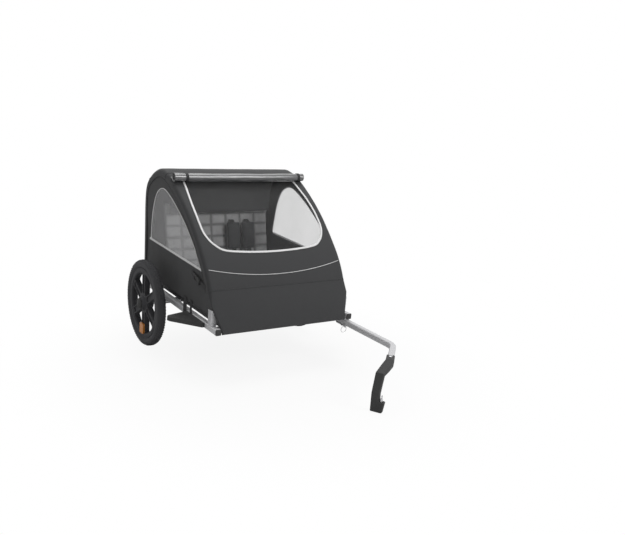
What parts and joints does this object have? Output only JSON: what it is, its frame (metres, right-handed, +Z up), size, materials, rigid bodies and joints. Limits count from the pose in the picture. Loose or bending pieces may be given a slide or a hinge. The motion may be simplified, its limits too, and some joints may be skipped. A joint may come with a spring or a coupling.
{
  "type": "bicycle trailer",
  "caption": "Child bicycle trailer with a fabric canopy over side arches, a wide front window, moulded spoked wheels, a bent side tow arm and a moulded coupler.",
  "frame": {"origin": "centre of the whole trailer's bounding box in plan, on the ground", "axes": "+X to the trailer's left, where the tow arm is; +Y to its rear; +Z up"},
  "size_m": [0.9106, 1.317, 0.8106],
  "materials": {
    "silver_paint": "satin",
    "zinc_steel": "zinc plated",
    "black_plastic": "moulded",
    "moulded_wheel": "moulded",
    "tyre_rubber": "matt",
    "amber_reflector": "prismatic",
    "charcoal_fabric": "coated weave",
    "grey_fabric": "quilted",
    "webbing": "woven",
    "clear_sheet": "clear"
  },
  "bodies": {
    "root": {"arch_pin_front_left": "zinc_steel", "arch_pin_front_right": "zinc_steel", "arch_pin_rear_left": "zinc_steel", "arch_pin_rear_right": "zinc_steel", "arch_post_front_left": "silver_paint", "arch_post_front_right": "silver_paint", "arch_post_rear_left": "silver_paint", "arch_post_rear_right": "silver_paint", "axle_bracket_left": "silver_paint", "axle_bracket_right": "silver_paint", "axle_cross_tube": "zinc_steel", "backrest": "grey_fabric", "floor": "charcoal_fabric", "front_cover": "charcoal_fabric", "front_cross_tube": "zinc_steel", "front_panel": "charcoal_fabric", "front_window": "clear_sheet", "hem_loop_left": "webbing", "hem_loop_right": "webbing", "rail_cap_front_left": "black_plastic", "rail_cap_front_right": "black_plastic", "rail_cap_rear_left": "black_plastic", "rail_cap_rear_right": "black_plastic", "rain_cover_roll": "clear_sheet", "rear_cover": "charcoal_fabric", "rear_cross_tube": "zinc_steel", "roof_cover": "charcoal_fabric", "roof_crossbar": "silver_paint", "seat_cushion": "grey_fabric", "shoulder_pad_inner": "webbing", "shoulder_pad_outer": "webbing", "side_arch_left": "silver_paint", "side_arch_right": "silver_paint", "side_panel_left": "charcoal_fabric", "side_panel_right": "charcoal_fabric", "side_rail_left": "silver_paint", "side_rail_right": "silver_paint", "side_window_left": "clear_sheet", "side_window_right": "clear_sheet", "stub_axle_left": "zinc_steel", "stub_axle_right": "zinc_steel", "tow_arm_bracket": "silver_paint", "tow_arm_pivot_bolt": "black_plastic", "wheel_guard_left": "black_plastic", "wheel_guard_right": "black_plastic"},
    "wheel_left": {"hub_bearing_left": "zinc_steel", "hub_cap_left": "black_plastic", "mag_wheel_left": "moulded_wheel", "spoke_reflector_left": "amber_reflector", "tyre_left": "tyre_rubber"},
    "wheel_right": {"hub_bearing_right": "zinc_steel", "hub_cap_right": "black_plastic", "mag_wheel_right": "moulded_wheel", "spoke_reflector_right": "amber_reflector", "tyre_right": "tyre_rubber"},
    "tow_arm": {"tow_arm": "silver_paint", "coupler": "black_plastic", "coupler_bolt": "zinc_steel"},
    "lock_pin": {"lock_pin": "zinc_steel"},
    "hitch_pin": {"hitch_pin": "zinc_steel"}
  },
  "joints": [
    {"name": "wheel_spin_left", "type": "hinge", "parent": "root", "child": "wheel_left", "pos_m": [0.415, 0.42546, 0.2], "axis": [1, 0, 0], "continuous": true},
    {"name": "wheel_spin_right", "type": "hinge", "parent": "root", "child": "wheel_right", "pos_m": [-0.415, 0.42546, 0.2], "axis": [1, 0, 0], "continuous": true},
    {"name": "tow_arm_swing", "type": "hinge", "parent": "root", "child": "tow_arm", "pos_m": [0.3285, -0.09938, 0.18673], "axis": [0, -0.032, 0.9995], "range_deg": [-90, 0]},
    {"name": "lock_pin_pull", "type": "slide", "parent": "root", "child": "lock_pin", "axis": [0, 0.032, -0.9995], "range_m": [0, 0.012], "stiffness_N_per_m": 600, "springref_m": -0.005},
    {"name": "hitch_pin_pull", "type": "slide", "parent": "tow_arm", "child": "hitch_pin", "axis": [0, -0.032, 0.9995], "range_m": [0, 0.03]}
  ]
}
